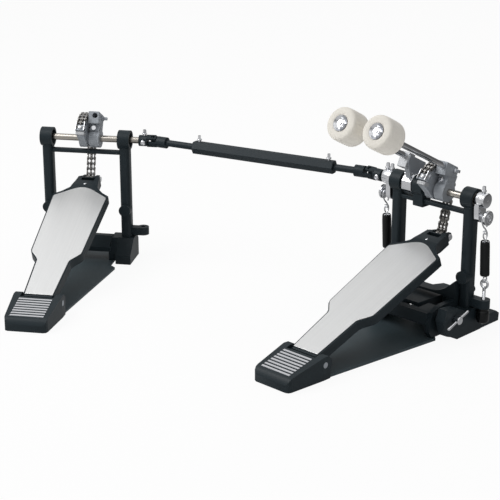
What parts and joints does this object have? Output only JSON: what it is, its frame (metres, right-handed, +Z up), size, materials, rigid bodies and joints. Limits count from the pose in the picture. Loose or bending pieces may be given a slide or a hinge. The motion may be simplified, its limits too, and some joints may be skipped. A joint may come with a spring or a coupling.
{
  "type": "double bass drum pedal",
  "caption": "Chain-driven double bass drum pedal: a main pedal with paired felt beaters, a slave pedal, and a jointed drive shaft between them.",
  "frame": {"origin": "on the floor, under the main axle, midway between the main pedal's posts", "axes": "+X along the main axle to the player's right, +Y from the heel to the drum, +Z up"},
  "size_m": [0.7146, 0.5034, 0.3219],
  "materials": {
    "black_casting": "satin black powder coat",
    "black_plate": "satin black powder coat",
    "black_knob": "moulded",
    "steel": "nickel plated",
    "chrome": "polished",
    "cam_alloy": "die cast, satin",
    "inlay": "brushed",
    "felt": "pressed wool felt",
    "sleeve": "matte",
    "spring_wire": "plated wire",
    "chain": "plated roller chain"
  },
  "bodies": {
    "main_stand": {"main_left_post": "black_casting", "main_right_post": "black_casting", "main_crossbar": "black_casting", "main_bearings": "steel", "main_base_plate": "black_plate", "main_foot_casting": "black_casting", "main_heel_plate": "black_casting", "main_hinge_pin": "steel", "main_heel_strips": "inlay", "spring_eyebolts": "steel", "tension_knobs": "black_knob"},
    "right_rocker": {"main_axle": "steel", "main_cam": "cam_alloy", "main_chain_wrap": "chain", "right_beater_rod": "chrome", "right_beater_felt": "felt", "right_spring_lever": "chrome"},
    "main_upper_links": {"main_chain_upper": "chain"},
    "main_lower_links": {"main_chain_lower": "chain"},
    "main_strand": {"main_chain_strand": "chain"},
    "main_treadle": {"main_footboard": "black_casting", "main_footboard_inlay": "inlay", "main_toe_bolt": "steel"},
    "right_spring_unit": {"right_spring": "spring_wire", "right_spring_sleeve": "sleeve"},
    "right_spring_top": {"right_spring_hook": "spring_wire"},
    "left_rocker": {"left_shaft": "black_casting", "left_beater_hub": "chrome", "left_beater_rod": "chrome", "left_beater_felt": "felt", "left_spring_lever": "chrome"},
    "left_spring_unit": {"left_spring": "spring_wire", "left_spring_sleeve": "sleeve"},
    "left_spring_top": {"left_spring_hook": "spring_wire"},
    "drive_shaft": {"drive_right_rod": "black_casting", "drive_tube": "black_casting", "drive_tube_bolts": "chrome"},
    "drive_end": {"drive_left_rod": "black_casting"},
    "hoop_jaw": {"hoop_clamp_jaw": "black_plate"},
    "hoop_screw": {"hoop_wing_screw": "chrome"},
    "slave_stand": {"slave_left_post": "black_casting", "slave_right_post": "black_casting", "slave_crossbar": "black_casting", "slave_bearings": "steel", "slave_base_plate": "black_plate", "slave_foot_casting": "black_casting", "slave_heel_plate": "black_casting", "slave_hinge_pin": "steel", "slave_heel_strips": "inlay"},
    "slave_treadle": {"slave_footboard": "black_casting", "slave_footboard_inlay": "inlay", "slave_toe_bolt": "steel"},
    "slave_rocker": {"slave_axle": "steel", "slave_cam": "cam_alloy", "slave_chain_wrap": "chain"},
    "slave_upper_links": {"slave_chain_upper": "chain"},
    "slave_lower_links": {"slave_chain_lower": "chain"},
    "slave_strand": {"slave_chain_strand": "chain"}
  },
  "joints": [
    {"name": "right_beater_swing", "type": "hinge", "parent": "main_stand", "child": "right_rocker", "pos_m": [0, 0, 0.19], "axis": [-1, 0, 0], "range_deg": [0, 53.2], "stiffness_Nm_per_rad": 0.8, "springref_deg": -20.05},
    {"name": "main_upper_links_bend", "type": "hinge", "parent": "right_rocker", "child": "main_upper_links", "pos_m": [-0.0008, 0.02352, 0.21725], "axis": [1, 0, 0], "range_deg": [0, 12.8]},
    {"name": "main_lower_links_bend", "type": "hinge", "parent": "main_upper_links", "child": "main_lower_links", "pos_m": [-0.0008, 0.03297, 0.20446], "axis": [1, 0, 0], "range_deg": [0, 32]},
    {"name": "main_strand_bend", "type": "hinge", "parent": "main_lower_links", "child": "main_strand", "pos_m": [-0.0008, 0.03484, 0.18093], "axis": [1, 0, 0], "range_deg": [0, 19.2]},
    {"name": "main_treadle_press", "type": "hinge", "parent": "main_stand", "child": "main_treadle", "pos_m": [0, -0.2615, 0.0205], "axis": [-1, 0, 0], "range_deg": [0, 7]},
    {"name": "right_spring_swing", "type": "hinge", "parent": "main_stand", "child": "right_spring_unit", "pos_m": [0.085, 0.006, 0.0772], "axis": [1, 0, 0], "range_deg": [0, 9.6]},
    {"name": "right_spring_stretch", "type": "slide", "parent": "right_spring_unit", "child": "right_spring_top", "axis": [0, -0.0659, 0.9978], "range_m": [0, 0.0115]},
    {"name": "left_beater_swing", "type": "hinge", "parent": "main_stand", "child": "left_rocker", "pos_m": [0, 0, 0.19], "axis": [-1, 0, 0], "range_deg": [0, 53.2], "stiffness_Nm_per_rad": 0.8, "springref_deg": -20.05},
    {"name": "left_spring_swing", "type": "hinge", "parent": "main_stand", "child": "left_spring_unit", "pos_m": [-0.085, 0.006, 0.0772], "axis": [1, 0, 0], "range_deg": [0, 9.6]},
    {"name": "left_spring_stretch", "type": "slide", "parent": "left_spring_unit", "child": "left_spring_top", "axis": [0, -0.0659, 0.9978], "range_m": [0, 0.0115]},
    {"name": "drive_shaft_spin", "type": "hinge", "parent": "main_stand", "child": "drive_shaft", "pos_m": [-0.114, 0, 0.19], "axis": [-0.9617, -0.274, 0], "range_deg": [0, 53.2]},
    {"name": "slave_spacing", "type": "slide", "parent": "main_stand", "child": "slave_stand", "axis": [-0.9617, -0.274, 0], "range_m": [-0.02, 0.04]},
    {"name": "drive_end_spin", "type": "hinge", "parent": "slave_stand", "child": "drive_end", "pos_m": [-0.46119, -0.0989, 0.19], "axis": [-0.9617, -0.274, 0], "range_deg": [0, 53.2]},
    {"name": "slave_cam_swing", "type": "hinge", "parent": "slave_stand", "child": "slave_rocker", "pos_m": [-0.54917, -0.15802, 0.19], "axis": [-0.83, -0.5577, 0], "range_deg": [0, 53.2]},
    {"name": "slave_upper_links_bend", "type": "hinge", "parent": "slave_rocker", "child": "slave_upper_links", "pos_m": [-0.56295, -0.13894, 0.21725], "axis": [0.83, 0.5577, 0], "range_deg": [0, 12.8]},
    {"name": "slave_lower_links_bend", "type": "hinge", "parent": "slave_upper_links", "child": "slave_lower_links", "pos_m": [-0.56822, -0.1311, 0.20446], "axis": [0.83, 0.5577, 0], "range_deg": [0, 32]},
    {"name": "slave_strand_bend", "type": "hinge", "parent": "slave_lower_links", "child": "slave_strand", "pos_m": [-0.56927, -0.12955, 0.18093], "axis": [0.83, 0.5577, 0], "range_deg": [0, 19.2]},
    {"name": "slave_treadle_press", "type": "hinge", "parent": "slave_stand", "child": "slave_treadle", "pos_m": [-0.40332, -0.37507, 0.0205], "axis": [-0.83, -0.5577, 0], "range_deg": [0, 7]},
    {"name": "hoop_jaw_close", "type": "hinge", "parent": "main_stand", "child": "hoop_jaw", "pos_m": [0, 0.008, 0.033], "axis": [-1, 0, 0], "range_deg": [0, 7]},
    {"name": "hoop_screw_turn", "type": "hinge", "parent": "main_stand", "child": "hoop_screw", "pos_m": [0, -0.046, 0.033], "axis": [-1, 0, 0], "range_deg": [0, 420]}
  ],
  "couplings": [
    {"joint": "main_upper_links_bend", "follows": "right_beater_swing", "ratio": 0.23961},
    {"joint": "main_lower_links_bend", "follows": "right_beater_swing", "ratio": 0.59903},
    {"joint": "main_strand_bend", "follows": "right_beater_swing", "ratio": 0.35942},
    {"joint": "main_treadle_press", "follows": "right_beater_swing", "ratio": 0.13109},
    {"joint": "right_spring_swing", "follows": "right_beater_swing", "ratio": 0.17954},
    {"joint": "right_spring_stretch", "follows": "right_beater_swing", "m_per_rad": 0.012268},
    {"joint": "left_spring_swing", "follows": "left_beater_swing", "ratio": 0.17954},
    {"joint": "left_spring_stretch", "follows": "left_beater_swing", "m_per_rad": 0.012268},
    {"joint": "drive_shaft_spin", "follows": "left_beater_swing", "ratio": 1},
    {"joint": "drive_end_spin", "follows": "left_beater_swing", "ratio": 1},
    {"joint": "slave_cam_swing", "follows": "left_beater_swing", "ratio": 1},
    {"joint": "slave_upper_links_bend", "follows": "left_beater_swing", "ratio": 0.23961},
    {"joint": "slave_lower_links_bend", "follows": "left_beater_swing", "ratio": 0.59903},
    {"joint": "slave_strand_bend", "follows": "left_beater_swing", "ratio": 0.35942},
    {"joint": "slave_treadle_press", "follows": "left_beater_swing", "ratio": 0.13109},
    {"joint": "hoop_screw_turn", "follows": "hoop_jaw_close", "ratio": 60}
  ]
}
